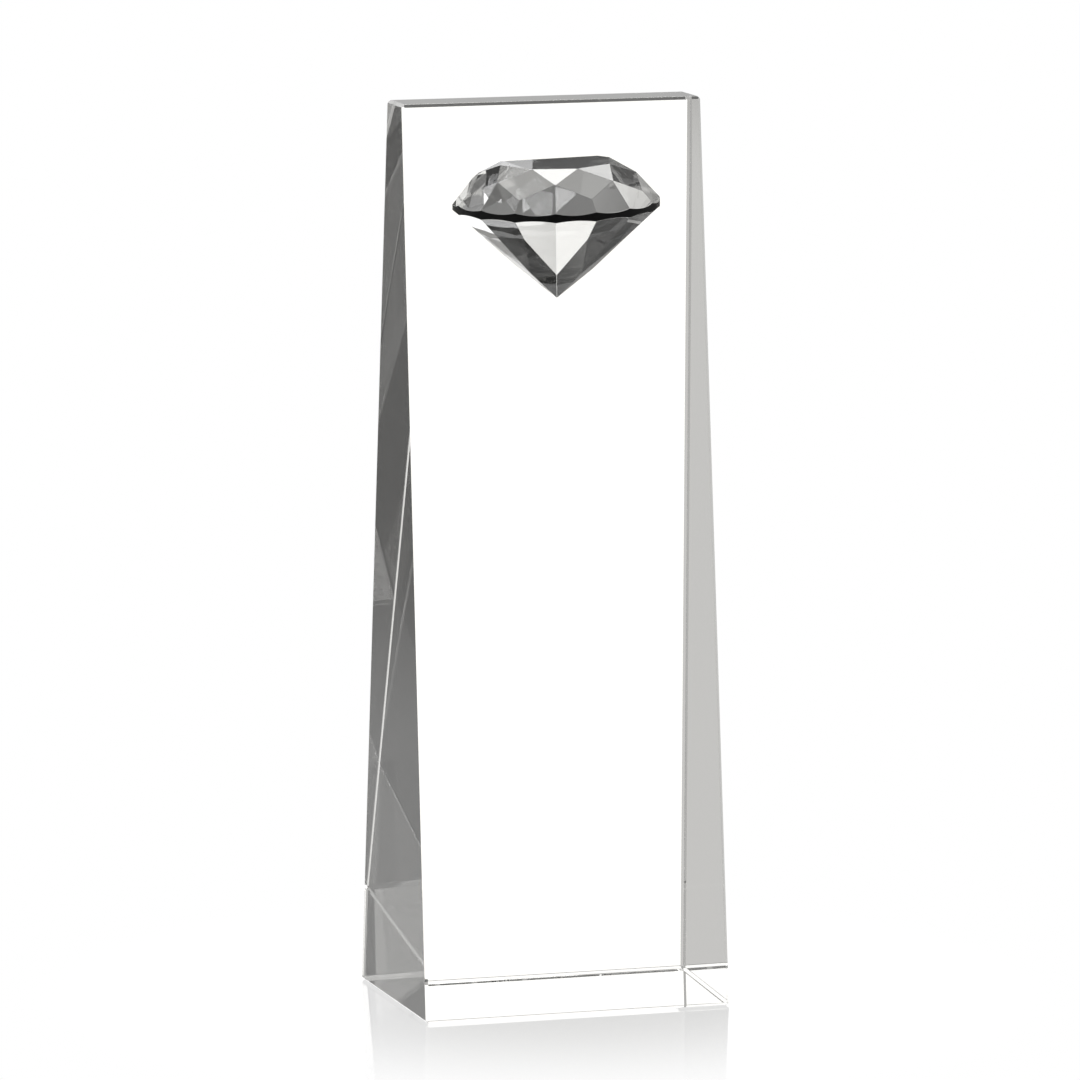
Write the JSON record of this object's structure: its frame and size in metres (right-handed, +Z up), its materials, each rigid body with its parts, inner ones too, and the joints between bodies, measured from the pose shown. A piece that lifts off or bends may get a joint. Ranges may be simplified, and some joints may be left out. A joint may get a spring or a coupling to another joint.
{
  "type": "crystal tower award",
  "caption": "Clear crystal tower award with a leaning, blank front face and a half brilliant-cut stone bonded near its top.",
  "frame": {"origin": "centre of the flat face that the tower stands on", "axes": "+Z up along the tower, front face and stone towards -Y, +X to the right seen from the front"},
  "size_m": [0.0888, 0.0766, 0.254],
  "materials": {
    "optical_crystal": "polished optical crystal, clear and colourless, with bright chamfered edges",
    "clear_adhesive": "clear cured adhesive film",
    "stone_crystal": "polished faceted crystal, clear and colourless"
  },
  "bodies": {
    "root": {"tower_block": "optical_crystal", "bond_film": "clear_adhesive", "half_stone": "stone_crystal"}
  },
  "joints": []
}
